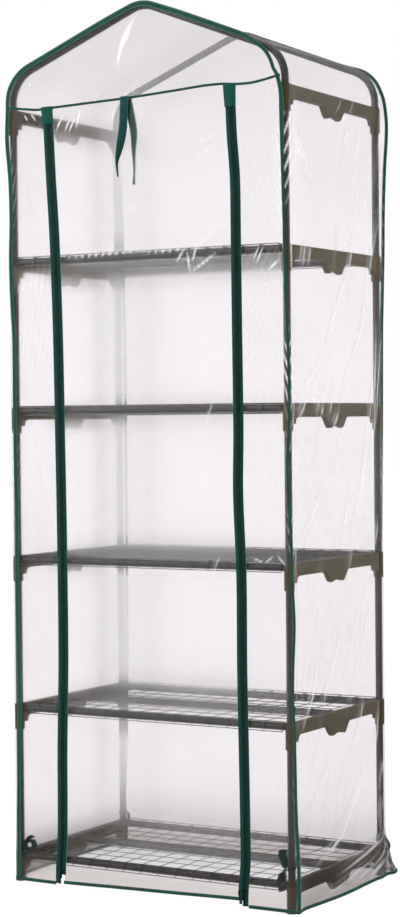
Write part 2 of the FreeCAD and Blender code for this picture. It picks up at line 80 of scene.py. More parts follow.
def table(*points, unit=1):
    """Smooth curve through (position, value) pairs, both divided by the unit."""
    xs = [p[0] / unit for p in points]
    ys = [p[1] / unit for p in points]
    slopes = []
    for i in range(len(xs)):
        a, b = max(i - 1, 0), min(i + 1, len(xs) - 1)
        slopes.append((ys[b] - ys[a]) / (xs[b] - xs[a]))

    def value(x):
        if x <= xs[0]:
            return ys[0]
        if x >= xs[-1]:
            return ys[-1]
        i = bisect.bisect_right(xs, x) - 1
        h = xs[i + 1] - xs[i]
        t = (x - xs[i]) / h
        t2, t3 = t * t, t * t * t
        return ((2 * t3 - 3 * t2 + 1) * ys[i] + (t3 - 2 * t2 + t) * h * slopes[i]
                + (3 * t2 - 2 * t3) * ys[i + 1] + (t3 - t2) * h * slopes[i + 1])

    return value


def ease(t):
    t = min(max(t, 0.0), 1.0)
    return t * t * (3 - 2 * t)


def span(a, b, count):
    return [a + (b - a) * i / (count - 1) for i in range(count)]


def ripple(*place):
    return noise.noise(Vector(place))


# How far each corner's seam stands from the middle of the width, by height, and the back seams of the depth
front_right_x = table((0, 366), (75, 366.5), (136, 364.5), (198, 361.2), (320, 359.5), (384, 358.5), (445, 355.5),
                      (507, 356.5), (600, 360.5), (693, 356.5), (755, 355.5), (816, 352.3), (878, 349), (940, 348.2),
                      (1002, 351.5), (1094, 353.5), (1186, 351), (1310, 347), (1433, 344.5), (1556, 341.8),
                      (1650, 341), (1700, 339.5), (1730, 331.5), (1752, 324.5), unit=1000)
front_left_x = table((0, 337.5), (137, 337.1), (226, 335.3), (315, 334.1), (405, 331), (494, 332.3), (600, 334.5),
                     (700, 334.5), (800, 333), (940, 335.3), (1070, 336), (1205, 335.5), (1294, 340.3), (1383, 342.3),
                     (1471, 339.5), (1560, 341.8), (1649, 349), (1720, 346.5), (1752, 348), unit=1000)
back_right_x = table((0, 362), (14, 356), (30, 348), (60, 341), (120, 337), (300, 337), (600, 337.5), (800, 341.5),
                     (950, 344.5), (1130, 346.5), (1222, 347.5), (1311, 350), (1400, 352.4), (1489, 353.9),
                     (1578, 357.6), (1667, 363.3), (1712, 360.5), (1752, 353), unit=1000)
back_left_x = table((0, 362), (30, 359), (70, 357.5), (130, 347), (400, 337), (800, 334), (1200, 334), (1550, 340),
                    (1700, 352), (1752, 352), unit=1000)
back_y = table((0.0, 0.2515), (0.014, 0.247), (0.03, 0.24), (0.06, 0.231), (0.1, 0.2268), (0.16, SEAM), (0.5, SEAM))
# Height of the seam above the door, and how far the zips sway
seam_z = table((-347, 1719), (-300, 1712.5), (-266, 1708.5), (-238, 1709.6), (-132, 1712.5), (-33.5, 1715),
               (94, 1721), (156, 1724.5), (200, 1724.5), (236, 1721), (278.5, 1721.5), (342, 1732), unit=1000)
left_sway = table((0, 3), (40, 4), (120, 9), (300, 11), (500, 16), (740, 16), (950, 14), (1200, 11), (1350, 7),
                  (1450, 3), (1550, -3), (1710, -11), unit=1000)
right_sway = table((0, 3), (40, 4.5), (100, 10), (160, 10), (280, 8.8), (500, 6), (700, 6), (870, 0), (1000, 2),
                   (1200, 1), (1400, 0), (1530, -1), (1620, -7.5), (1710, -11), unit=1000)


def left_zip(z):
    return -ZIP_X + left_sway(z)


def right_zip(z):
    return ZIP_X + right_sway(z)


# Outline of the frame, by its length from the ground at the right foot over the apex
BEND_L = EAVE_R * TURN
bend_end = Vector((COL_X - EAVE_R + EAVE_R * cos(TURN), BEND_Z + EAVE_R * sin(TURN)))
apex_start = Vector((APEX_R * sin(PITCH), APEX_Z + APEX_R * cos(PITCH)))
SLOPE_L = (bend_end - apex_start).length
HALF_L = BEND_Z + BEND_L + SLOPE_L + APEX_R * PITCH
FULL_L = 2 * HALF_L


def outline(s):
    """Point and outward normal of the frame's axis, as x, z, nx, nz."""
    if s > HALF_L:
        x, z, nx, nz = outline(FULL_L - s)
        return -x, z, -nx, nz
    if s < BEND_Z:
        return COL_X, s, 1.0, 0.0
    s -= BEND_Z
    if s < BEND_L:
        nx, nz = cos(s / EAVE_R), sin(s / EAVE_R)
        return COL_X - EAVE_R + EAVE_R * nx, BEND_Z + EAVE_R * nz, nx, nz
    s -= BEND_L
    if s < SLOPE_L:
        p = bend_end.lerp(apex_start, s / SLOPE_L)
        return p.x, p.y, sin(PITCH), cos(PITCH)
    a = PITCH - (s - SLOPE_L) / APEX_R
    nx, nz = sin(a), cos(a)
    return APEX_R * nx, APEX_Z + APEX_R * nz, nx, nz


def foot_run(s):
    """Length of the outline from the nearer foot."""
    return min(s, FULL_L - s)


def seam_reach(s, front):
    """How far the corner seam stands outwards from the frame's axis."""
    right, run = s < HALF_L, foot_run(s)
    if front:
        by_height, top = (front_right_x, -0.0175) if right else (front_left_x, 0.006)
        high = 0.0056 - 0.0026 * ease(1 - (HALF_L - run) / 0.11)
    else:
        by_height, top = (back_right_x, 0.011) if right else (back_left_x, 0.01)
        high = 0.0035
    if run < SEAM_TOP:
        return by_height(run) - COL_X
    return top + (high - top) * ease((run - SEAM_TOP) / 0.13)


def front_seam(s):
    x, z, nx, nz = outline(s)
    a = seam_reach(s, True)
    y = SEAM - 0.0042 * ease((foot_run(s) - ROOF_FROM) / 0.12)
    return Vector((x + nx * a, MID_Y - y, z + nz * a))


def back_seam(s):
    x, z, nx, nz = outline(s)
    a = seam_reach(s, False)
    y = back_y(z) - 0.004 * ease((foot_run(s) - 1.72) / 0.12)
    return Vector((x + nx * a, MID_Y + y, z + nz * a))


# Materials


def add(tree, kind, inputs=(), **settings):
    made = tree.nodes.new("ShaderNode" + kind)
    for key, value in settings.items():
        setattr(made, key, value)
    for key, value in dict(inputs).items():
        if isinstance(value, bpy.types.NodeSocket):
            tree.links.new(value, made.inputs[key])
        else:
            made.inputs[key].default_value = value
    return made


def ramp(tree, fac, stops):
    made = add(tree, "ValToRGB", {"Fac": fac})
    points = made.color_ramp.elements
    while len(points) < len(stops):
        points.new(0.5)
    for point, (place, colour) in zip(points, stops):
        point.position = place
        point.color = (*colour, 1)
    return made.outputs["Color"]


def grey(value):
    return (value,) * 3


def maths(tree, operation, *values, clamp=False):
    return add(tree, "Math", enumerate(values), operation=operation, use_clamp=clamp).outputs[0]


def clouds(tree, place, scale, detail=2.0, **more):
    return add(tree, "TexNoise", {"Vector": place, "Scale": scale, "Detail": detail, **more}).outputs["Fac"]


def remap(tree, value, low, high, first=0.0, last=1.0):
    return add(tree, "MapRange", {"Value": value, "From Min": low, "From Max": high, "To Min": first,
                                  "To Max": last}).outputs["Result"]


def blend(tree, share, first, second, kind="MIX"):
    return add(tree, "Mix", {"Factor": share, "A": first, "B": second}, data_type="RGBA",
               blend_type=kind).outputs["Result"]


def bump_normal(tree, height, strength, depth):
    return add(tree, "Bump", {"Height": height, "Strength": strength, "Distance": depth}).outputs["Normal"]


def mix_to(tree, surface, share, first, second):
    mixed = add(tree, "MixShader", {0: share, 1: first.outputs[0], 2: second.outputs[0]})
    tree.links.new(mixed.outputs[0], surface)


def seen_ray(tree):
    """1 for rays that come from the camera, straight, by a gleam or through the film."""
    path = add(tree, "LightPath").outputs
    seen = maths(tree, "MAXIMUM", path["Is Camera Ray"], path["Is Glossy Ray"])
    return maths(tree, "MAXIMUM", seen, path["Is Transmission Ray"])


def start(name):
    made = bpy.data.materials.new(name)
    made.use_nodes = True
    tree = made.node_tree
    tree.nodes.clear()
    surface = add(tree, "OutputMaterial").inputs["Surface"]
    return made, tree, surface, add(tree, "TexCoord").outputs


def opaque(tree, surface, colour, gloss, shine, normal):
    shade = add(tree, "BsdfPrincipled",
                {"Base Color": colour, "Roughness": gloss, "Specular IOR Level": shine, "Normal": normal})
    tree.links.new(shade.outputs["BSDF"], surface)


def painted(name, dark, light, rough, grain, bump, shine):
    """Coated metal or moulded plastic: mottled colour, uneven gloss and a fine grain."""
    made, tree, surface, place = start(name)
    patch = clouds(tree, place["Object"], 22.0, 5.0)
    colour = ramp(tree, patch, [(0.32, dark), (0.68, light)])
    gloss = ramp(tree, patch, [(0.3, grey(rough - 0.07)), (0.7, grey(rough + 0.09))])
    fine = clouds(tree, place["Object"], grain, 3.0)
    opaque(tree, surface, colour, gloss, shine, bump_normal(tree, fine, bump, 0.0004))
    return made


# Stitches of a tape: share of its width, half thickness, length with the gap, and length
STITCH_AT, STITCH_R, STITCH_STEP, STITCH_L = 0.31, 0.00035, 0.0036, 0.0026


def woven(name, dark, light, edge, width, thread=0.0011, stitch=True, rim_at=(0.36, 0.48), far_side=False):
    """Woven tape: ribs across it, a paler rim along the edge that is a painted highlight, and a row of stitches in
    that colour, in metres along and across it.
    """
    made, tree, surface, place = start(name)
    uv = add(tree, "SeparateXYZ", {"Vector": place["UV"]}).outputs
    along, across = uv["X"], uv["Y"]
    rib = maths(tree, "SINE", maths(tree, "MULTIPLY", along, 2 * pi / thread))
    warp = maths(tree, "SINE", maths(tree, "MULTIPLY", across, 2 * pi / (thread * 1.4)))
    height = maths(tree, "MULTIPLY_ADD", maths(tree, "MULTIPLY", rib, warp), 0.5, 0.5)
    mottle = maths(tree, "MULTIPLY_ADD", height, 0.3, clouds(tree, place["Object"], 34.0, 4.0))
    colour = ramp(tree, mottle, [(0.38, dark), (0.85, light)])
    side = maths(tree, "ABSOLUTE", across)
    # The paler rim is a painted highlight along the tape's edge.
    rim = remap(tree, across if far_side else side, width * rim_at[0], width * rim_at[1])
    colour = blend(tree, rim, colour, (*edge, 1))
    if stitch:
        row = maths(tree, "ABSOLUTE", maths(tree, "SUBTRACT", side, width * STITCH_AT))
        row = maths(tree, "LESS_THAN", row, STITCH_R)
        dash = maths(tree, "ABSOLUTE", maths(tree, "MODULO", along, STITCH_STEP))
        dash = maths(tree, "LESS_THAN", dash, STITCH_L)
        colour = blend(tree, maths(tree, "MULTIPLY", row, dash), colour, (*edge, 1))
    opaque(tree, surface, colour, 0.7, 0.08, bump_normal(tree, height, 0.5, 0.0003))
    return made


# Share of the light let straight through each face of the film, by height: its own clearness through the middle,
# lowered towards the foot as painted shade for the shadowed floor seen through it, and towards the top as painted
# shade on the gable
SHADED_VEIL = [(0.0, 0.78), (0.018, 0.795), (0.034, 0.862), (0.048, 0.868), (0.062, 0.905), (0.08, 0.942), (0.1, 0.955),
        (0.3, 0.971), (0.55, 0.986), (0.75, 0.979), (0.88, 0.962), (1.0, 0.94)]
# The walls' skirt is darker still at its foot: painted shade for the shadow on the floor under it.
SHADED_SKIRT_VEIL = [(0.0, 0.6), (0.018, 0.635), (0.034, 0.765), (0.055, 0.915)] + SHADED_VEIL[5:]
FILM_TOP = 1.93
# Painted shade along a fold, and painted highlight along a gleaming one
PAINTED_SHADE, PAINTED_HIGHLIGHT = (0.52, 0.508, 0.514, 1), (0.97, 0.965, 0.97, 1)


def clear_film(name, lean, hazes, gloss, shaded_veils=SHADED_VEIL, rough=0.48):
    """Soft clear film: glossy, faintly milky, with fine pulled creases that run at a lean, painted shade towards its
    foot and top, and painted shade and highlights along its folds.
    """
    made, tree, surface, place = start(name)
    height = add(tree, "SeparateXYZ", {"Vector": place["Object"]}).outputs["Z"]
    height = remap(tree, height, 0.0, FILM_TOP)
    turn = add(tree, "Mapping", {"Vector": place["Object"], "Rotation": (*lean, 0.0)})
    pulled = add(tree, "Mapping", {"Vector": turn.outputs["Vector"], "Scale": (60.0, 60.0, 3.2)})
    crease = clouds(tree, pulled.outputs["Vector"], 1.0, 3.0, Roughness=0.55, Distortion=0.3)
    ridge = remap(tree, maths(tree, "ABSOLUTE", maths(tree, "SUBTRACT", crease, 0.5)), 0.0, 0.06, 1.0, 0.0)
    broad = clouds(tree, place["Object"], 6.0)
    ridge = maths(tree, "MULTIPLY", ridge, remap(tree, broad, 0.5, 0.72))
    relief = bump_normal(tree, ridge, 0.12, 0.001)
    stops = []
    for z, v in shaded_veils:
        # Near the foot the tint turns warmer and darker: painted shade for the brownish shadow on the floor seen
        # through the film.
        warm_shade = max(0.0, 1 - z / 0.045)
        stops.append((z, (v, v * (0.9885 - 0.035 * warm_shade), v * (0.9955 - 0.06 * warm_shade))))
    cloud = ramp(tree, broad, [(0.3, grey(0.985)), (0.7, grey(1.0))])
    shaded_tint = blend(tree, 1.0, ramp(tree, height, stops), cloud, "MULTIPLY")
    # The crease attribute carries painted shade (above 0) and painted highlight (below 0) along folds and gathers;
    # where it is set, a grey or white colour takes over from the clear transmission.
    painted_mark = add(tree, "Attribute", attribute_name="crease").outputs["Fac"]
    size = maths(tree, "ABSOLUTE", painted_mark)
    milky = maths(tree, "MULTIPLY", size, 2.5, clamp=True)
    painted_streak = blend(tree, maths(tree, "LESS_THAN", painted_mark, 0.0), PAINTED_SHADE, PAINTED_HIGHLIGHT)
    shade = add(tree, "BsdfPrincipled",
                {"Base Color": blend(tree, milky, shaded_tint, painted_streak), "Roughness": rough, "IOR": 1.2,
                 "Transmission Weight": maths(tree, "SUBTRACT", 1.0, milky), "Specular IOR Level": 0.1,
                 "Normal": relief, "Coat Weight": 1.0, "Coat Roughness": 0.16, "Coat IOR": gloss,
                 "Coat Normal": relief})
    clear = add(tree, "BsdfTransparent", {"Color": shaded_tint})
    haze = ramp(tree, height, [(z, grey(v)) for z, v in hazes])
    path = add(tree, "LightPath")
    lit = maths(tree, "SUBTRACT", 1.0, path.outputs["Is Shadow Ray"])
    share = maths(tree, "MULTIPLY_ADD", size, 0.8, haze, clamp=True)
    mix_to(tree, surface, maths(tree, "MULTIPLY", share, lit), clear, shade)
    return made


tube_steel = painted("tube_steel", (0.0145, 0.014, 0.0105), (0.027, 0.0265, 0.02), 0.34, 900.0, 0.25, 0.42)
shelf_wire = painted("shelf_wire", (0.032, 0.031, 0.027), (0.06, 0.058, 0.051), 0.34, 1100.0, 0.25, 0.5)
bracket_plastic = painted("bracket_plastic", (0.049, 0.0375, 0.014), (0.072, 0.0565, 0.023), 0.52, 700.0, 0.35, 0.15)
slider_metal = painted("slider_metal", (0.003, 0.024, 0.019), (0.006, 0.036, 0.028), 0.36, 1200.0, 0.15, 0.15)
# The third green is the painted highlight along the tapes' edges, and also their stitches' colour.
GREEN, GREEN_LIGHT, GREEN_HIGHLIGHT_AND_STITCH = (0.01, 0.046, 0.033), (0.019, 0.069, 0.051), (0.05, 0.145, 0.108)
# Painted highlight along the edge of a narrow tape by shares of its width, fine thread, and width of a zip's tape
THIN_RIM, FINE, ZIP_TAPE = (0.4, 0.5), 0.0009, 0.0131
binding_tape = woven("binding_tape", GREEN, GREEN_LIGHT, GREEN_HIGHLIGHT_AND_STITCH, 0.0084, rim_at=THIN_RIM)
back_tape = woven("back_tape", (0.008, 0.066, 0.047), (0.016, 0.094, 0.068), GREEN_HIGHLIGHT_AND_STITCH, 0.0084, rim_at=THIN_RIM)
hem_tape = woven("hem_tape", GREEN, GREEN_LIGHT, GREEN_HIGHLIGHT_AND_STITCH, HEM_H, rim_at=THIN_RIM)
zip_cloth = woven("zip_cloth", (0.005, 0.036, 0.03), (0.01, 0.056, 0.047), (0.015, 0.074, 0.062), ZIP_TAPE, FINE)
# This tape gets a brighter painted highlight along its outer edge.
zip_cloth_lit_edge = woven("zip_cloth_lit_edge", (0.004, 0.028, 0.023), (0.007, 0.043, 0.036), (0.12, 0.26, 0.205),
                       ZIP_TAPE, FINE, False, (0.39, 0.47), True)
tab_cloth = woven("tab_cloth", (0.005, 0.056, 0.041), (0.01, 0.078, 0.058), (0.026, 0.15, 0.112), 0.031,
                  rim_at=(0.45, 0.5))
ribbon_cloth = woven("ribbon_cloth", (0.008, 0.044, 0.04), (0.015, 0.07, 0.062), (0.026, 0.1, 0.09), 0.018,
                     FINE, False)
tie_cloth = woven("tie_cloth", (0.012, 0.032, 0.026), (0.022, 0.05, 0.042), (0.034, 0.075, 0.062), 0.014, FINE, False)
zip_teeth = painted("zip_teeth", (0.001, 0.014, 0.011), (0.002, 0.022, 0.018), 0.5, 900.0, 0.2, 0.1)
side_haze = [(0.0, 0.16), (0.03, 0.06), (0.07, 0.038), (0.24, 0.036), (0.36, 0.047), (0.5, 0.055), (1.0, 0.055)]
side_film = clear_film("side_film", (0.27, 0.0), side_haze, 1.7, SHADED_SKIRT_VEIL)
# The door is clearest where it lies against the shelves and milkier where it hangs free between them
door_haze = [(0.0, 0.36), (0.042, 0.26), (0.077, 0.18), (0.16, 0.2),
             (0.33, 0.62), (0.364, 0.28), (0.448, 0.28), (0.488, 0.62),
             (0.688, 0.62), (0.7, 0.31), (0.725, 0.31), (0.733, 0.45), (0.765, 0.45), (0.785, 0.62),
             (1.01, 0.62), (1.028, 0.34), (1.062, 0.34), (1.085, 0.62),
             (1.3, 0.62), (1.318, 0.46), (1.358, 0.46), (1.366, 0.38), (1.395, 0.38), (1.435, 0.62),
             (1.555, 0.62), (1.61, 0.35), (1.68, 0.35), (1.735, 0.2), (FILM_TOP, 0.16)]
front_film = clear_film("front_film", (0.0, 0.2), [(z / FILM_TOP, haze) for z, haze in door_haze], 1.5, rough=0.42)
strip_haze = [(0.0, 0.4), (0.022, 0.32), (0.04, 0.14), (0.34, 0.16), (0.674, 0.16), (0.686, 0.5), (0.704, 0.5),
              (0.709, 0.18), (1.0, 0.16)]
strip_film = clear_film("strip_film", (0.0, 0.55), strip_haze, 1.55)
back_film = clear_film("back_film", (0.0, -0.15), [(0.0, 0.1), (1.0, 0.1)], 1.7)


# Mesh builders


def new_object(name, data):
    made = bpy.data.objects.new(name, data)
    scene.collection.objects.link(made)
    return made


def piece(name, verts, faces, material, body="frame", uvs=None, smooth=True):
    mesh = bpy.data.meshes.new(name)
    mesh.from_pydata([tuple(v) for v in verts], [], faces)
    if uvs:
        layer = mesh.uv_layers.new(name="UVMap")
        for loop in mesh.loops:
            layer.data[loop.index].uv = uvs[loop.vertex_index]
    mesh.materials.append(material)
    if smooth:
        mesh.polygons.foreach_set("use_smooth", [True] * len(mesh.polygons))
    mesh.update()
    made = new_object(name, mesh)
    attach(made, body)
    return made


def grid_faces(columns, rows):
    return [(r * columns + c, r * columns + c + 1, (r + 1) * columns + c + 1, (r + 1) * columns + c)
            for r in range(rows - 1) for c in range(columns - 1)]


def film_sheet(name, rows, material):
    """Thin closed sheet from rows of (point, painted fold shade and highlight) pairs that all have the same length,
    the second kept as the crease attribute.
    """
    made = piece(name, [p for row in rows for p, painted_light in row], grid_faces(len(rows[0]), len(rows)), material)
    layer = made.data.attributes.new("crease", "FLOAT", "POINT")
    layer.data.foreach_set("value", [painted_light for row in rows for p, painted_light in row])
    skin = made.modifiers.new("thickness", "SOLIDIFY")
    skin.thickness = FILM
    skin.offset = 0.0
    return made


def tube_faces(faces, base, count, sides):
    """Walls and ends of a tube of rings that begin at vertex base."""
    for ring in range(base, base + (count - 1) * sides, sides):
        for k in range(sides):
            turn = (k + 1) % sides
            faces.append((ring + k, ring + turn, ring + sides + turn, ring + sides + k))
    faces.append(tuple(base + k for k in range(sides - 1, -1, -1)))
    faces.append(tuple(base + (count - 1) * sides + k for k in range(sides)))


def ribbon(name, path, across, width, thick, material, body="frame"):
    """Flat tape with softened edges along a path: across is its width's direction, one for all points or for each."""
    verts, uvs, faces = [], [], []
    run = 0.0
    count = len(path)
    for i, p in enumerate(path):
        if i:
            run += (p - path[i - 1]).length
        ahead = (path[min(i + 1, count - 1)] - path[max(i - 1, 0)]).normalized()
        side = across[i] if isinstance(across, list) else across
        side = (side - ahead * side.dot(ahead)).normalized()
        face = ahead.cross(side)
        w = width[i] if isinstance(width, list) else width
        out, top, bend = w / 2, thick / 2, thick * 0.3
        flat, wall = out - bend, top - bend
        for a, b in ((-out, -wall), (-flat, -top), (flat, -top), (out, -wall),
                     (out, wall), (flat, top), (-flat, top), (-out, wall)):
            verts.append(p + side * a + face * b)
            uvs.append((run, a))
    tube_faces(faces, 0, count, 8)
    return piece(name, verts, faces, material, body, uvs)


# Steel frame and moulded brackets keep their solids

for name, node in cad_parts.items():
    if name.startswith(("upright", "shelf_rails", "roof_arch", "arch_joiner")):
        finish = tube_steel
    elif name.startswith("bracket"):
        finish = bracket_plastic
    elif name.startswith(("zip_slider", "zip_pull")):
        finish = slider_metal
    else:
        continue
    node.data.materials.clear()
    node.data.materials.append(finish)


# Wire shelves: cross wires bent down over the front and back rails, long wires welded on top

# Depth of the mesh under its top, its wires' radius and bend, lift of the rim wires, and bays across and deep
SEAT = 0.0026
WIRE_R, WIRE_SIDES, WIRE_BEND = 0.0009, 6, 0.0035
RIM_UP = 0.0032
ACROSS, DEEP = 15, 10


def wire_mesh(path, verts, faces):
    """Round wire along a path, added to verts and faces."""
    base, count, side = len(verts), len(path), None
    for i, p in enumerate(path):
        ahead = (path[min(i + 1, count - 1)] - path[max(i - 1, 0)]).normalized()
        if side is None:
            side = ahead.orthogonal().normalized()
        side = (side - ahead * side.dot(ahead)).normalized()
        up = ahead.cross(side)
        for k in range(WIRE_SIDES):
            a = 2 * pi * k / WIRE_SIDES
            verts.append(p + (side * cos(a) + up * sin(a)) * WIRE_R)
    tube_faces(faces, base, count, WIRE_SIDES)


def wire_shelf(level):
    low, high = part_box("wire_shelf_%d" % level)
    axis = high.z - SEAT + WIRE_R
    drop = low.z + WIRE_R + RIM_UP
    bend = WIRE_BEND
    verts, faces = [], []
    for x in span(low.x + WIRE_R, high.x - WIRE_R, ACROSS + 1):
        path = []
        for side, edge in ((-1, low.y + WIRE_R), (1, high.y - WIRE_R)):
            leg = [Vector((x, edge, z)) for z in span(drop, axis - bend, 3)]
            for a in span(0.25, 1.0, 4):
                turn = a * pi / 2
                y = edge - side * bend * (1 - cos(turn))
                leg.append(Vector((x, y, axis - bend + bend * sin(turn))))
            path += leg if side < 0 else list(reversed(leg))
        wire_mesh(path, verts, faces)
    long_wires = [(y, axis + 1.6 * WIRE_R) for y in span(low.y + WIRE_R + bend, high.y - WIRE_R - bend, DEEP + 1)]
    long_wires += [(low.y + 0.4 * WIRE_R, drop), (high.y - 0.4 * WIRE_R, drop)]
    for y, z in long_wires:
        wire_mesh([Vector((x, y, z)) for x in (low.x, 0.0, high.x)], verts, faces)
    made = piece("shelf_%d_wires" % level, verts, faces, shelf_wire)
    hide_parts("wire_shelf_%d" % level)


for level in range(1, 6):
    wire_shelf(level)


# Film cover


def fold(points, height, width, shade_side, highlight_side):
    """Pulled fold along a line of (across, up) points, as segments with their share of the length, and how strongly
    painted shade and painted highlight show on its two flanks.
    """
    ends = [0.0]
    for a, b in zip(points, points[1:]):
        ends.append(ends[-1] + dist(a, b))
    total = ends[-1]
    parts = []
    for (a, b), at, to in zip(zip(points, points[1:]), ends, ends[1:]):
        parts.append((a[0], a[1], b[0] - a[0], b[1] - a[1], (to - at) ** 2, at / total, (to - at) / total))
    reach = 2.6 * width
    box = (min(p[0] for p in points) - reach, max(p[0] for p in points) + reach,
           min(p[1] for p in points) - reach, max(p[1] for p in points) + reach)
    return box, parts, height, width, shade_side, highlight_side


def loose_folds(seed, count, along, up, lean, height, width, length, shade):
    """Folds scattered over a panel, all near one lean."""
    chance = random.Random(seed)
    made = []
    for _ in range(count):
        a, z = chance.uniform(*along), chance.uniform(*up)
        tilt = lean + chance.gauss(0, 0.09)
        reach, bow = chance.uniform(*length), chance.uniform(-0.012, 0.012)
        da, dz = sin(tilt) * reach, cos(tilt) * reach
        made.append(fold([(a - da, z - dz), (a + bow, z), (a + da, z + dz)], chance.uniform(*height),
                         chance.uniform(*width), shade, shade))
    return made


def lift(folds, a, z):
    """Height of all folds at a point of a panel, and the painted shade (above 0) or painted highlight (below 0) they
    put on the film there.
    """
    total = painted_light = 0.0
    for (a0, a1, z0, z1), parts, height, width, shade_side, highlight_side in folds:
        if a < a0 or a > a1 or z < z0 or z > z1:
            continue
        best, place, side = 1.0, 0.0, 1.0
        for pa, pz, da, dz, square, at, share in parts:
            t = min(max(((a - pa) * da + (z - pz) * dz) / square, 0.0), 1.0)
            ea, ez = a - pa - t * da, z - pz - t * dz
            d = ea * ea + ez * ez
            if d < best:
                best, place, side = d, at + t * share, 1.0 if da * ez > dz * ea else -1.0
        if best < 7 * width * width:
            fade = sin(pi * min(max(place, 0.03), 0.97)) ** 0.7
            off = side * sqrt(best) / width
            total += height * exp(-off * off) * fade
            shade_weight, highlight_weight = exp(-3.0 * (off - 0.45) ** 2), exp(-3.0 * (off + 0.45) ** 2)
            painted_light += (shade_side * shade_weight - highlight_side * highlight_weight) * fade
    return total, painted_light


def metres(lines):
    """Lines of points that are listed in millimetres."""
    return [[(a / 1000, z / 1000) for a, z in line] for line in lines]


# Folds as they are seen, by depth and height on the right wall, by width and height on the front
RIGHT_FOLDS = metres([[(-203, 1065), (-124, 1122), (-70, 1169), (-29, 1254), (33, 1338), (101, 1496), (152, 1640)],
                      [(20, 1600), (50, 1665)], [(79, 1600), (99, 1660)], [(58, 1560), (105, 1650)],
                      [(-131, 1515), (-150, 1549), (-186, 1620)],
                      [(-32, 1023), (-9, 1062), (35, 1129), (101, 1224), (137, 1344), (170, 1423), (203, 1500)],
                      [(15, 659), (43, 735), (54, 797), (95, 877), (131, 1014), (159, 1102), (168, 1219)],
                      [(-5, 761), (24, 822), (46, 889)], [(-181, 771), (-130, 829), (-87, 888)],
                      [(-206, 905), (-186, 937), (-140, 997)], [(-110, 402), (-77, 458), (-24, 534), (0, 619)],
                      [(17, 391), (42, 435), (78, 503), (129, 598), (160, 690)],
                      [(-197, 373), (-142, 446), (-113, 527)], [(-164, 185), (-136, 225), (-80, 277), (-46, 339)],
                      [(23, 271), (75, 357), (100, 420)],
                      [(-162, 84), (-93, 107), (-16, 134), (68, 214), (129, 266), (170, 330)],
                      [(-83, 105), (-37, 138), (33, 193), (109, 269)], [(150, 290), (178, 385)],
                      [(160, 130), (190, 190)], [(170, 110), (202, 180)], [(175, 190), (205, 270)],
                      [(-60, 1030), (-30, 1110)], [(-120, 1030), (-85, 1105)], [(-180, 1040), (-150, 1100)],
                      [(-175, 1340), (-160, 1395)], [(-150, 1345), (-138, 1390)], [(-41, 1009), (-14, 1041)],
                      [(-98, 1036), (-85, 1055)], [(-194, 1030), (-174, 1053)],
                      [(119, 845), (135, 910), (160, 1009), (164, 1109), (176, 1220)],
                      [(173, 1020), (182, 1120), (202, 1209)], [(158, 744), (179, 798)],
                      [(85, 1423), (131, 1514), (163, 1594)], [(-120, 20), (-20, 35), (100, 55), (205, 85)],
                      [(20, 25), (120, 45), (205, 70)], [(-50, 55), (80, 75), (205, 100)],
                      [(80, 20), (140, 35), (200, 55)]])
# Short folds over the top bracket's bar, drawn as painted highlights.
BAR_FOLDS = metres([[(-13, 1676), (16, 1708)], [(50, 1680), (74, 1712)]])
# The last two numbers of each fold weigh the painted shade on one flank and the painted highlight on the other.
right_folds = [fold(line, 0.0016, 0.0105, 0.22, 0.4) for line in RIGHT_FOLDS]
right_folds += [fold(line, 0.0008, 0.0034, 0.0, 0.35) for line in BAR_FOLDS]
WALL_AREA = (-0.19, 0.19), (0.12, 1.62)
right_folds += loose_folds(11, 22, *WALL_AREA, 0.33, (0.0003, 0.0007), (0.006, 0.009), (0.03, 0.12), 0.1)
left_folds = [fold([(-a, z) for a, z in line[::-1]], 0.0013, 0.005, 0.05, 0.05) for line in RIGHT_FOLDS[4:18]]
left_folds += loose_folds(12, 20, *WALL_AREA, -0.3, (0.0005, 0.0012), (0.004, 0.006), (0.04, 0.15), 0.03)
DOOR_FOLDS = metres([[(113, 1381), (121, 1338)], [(121, 1338), (150, 1355), (182, 1375)], [(136, 1386), (126, 1357)],
                     [(85, 1360), (104, 1386)], [(297, 1382), (280, 1346)], [(287, 1382), (273, 1356)],
                     [(331, 1349), (306, 1330)], [(-199, 1688), (-216, 1660)], [(-179, 1682), (-194, 1655)],
                     [(-169, 1680), (-183, 1652)], [(-153, 1698), (-164, 1660)], [(-285, 1703), (-269, 1685)],
                     [(-303, 1702), (-291, 1687)], [(262, 738), (292, 728)], [(292, 728), (312, 742)],
                     [(322, 744), (344, 722)]])
SOFT_FOLDS = metres([[(116, 1599), (175, 1620), (205, 1637)], [(131, 1579), (187, 1600)], [(143, 1396), (205, 1447)],
                     [(134, 1386), (178, 1421)], [(-62, 1700), (-72, 1665)], [(150, 1010), (172, 1072)],
                     [(165, 700), (182, 738)], [(-6, 1750), (-22, 1722)], [(-106, 1744), (-109, 1718)]])
# The door's folds carry mostly painted highlight, with a little painted shade.
front_folds = [fold(line, 0.0011, 0.0034, 0.05, 0.45) for line in DOOR_FOLDS]
front_folds += [fold(line, 0.0009, 0.0036, 0.08, 0.22) for line in SOFT_FOLDS]
# Painted highlights down the gable.
STREAK = metres([[(-10, 1890), (-36, 1842), (-42, 1815)], [(-18, 1886), (-44, 1842), (-52, 1806), (-60, 1776)],
                 [(-34, 1852), (-47, 1822), (-54, 1790)], [(-24, 1862), (-34, 1834)]])
front_folds += [fold(line, 0.0008, 0.0042, 0.0, 0.55) for line in STREAK]
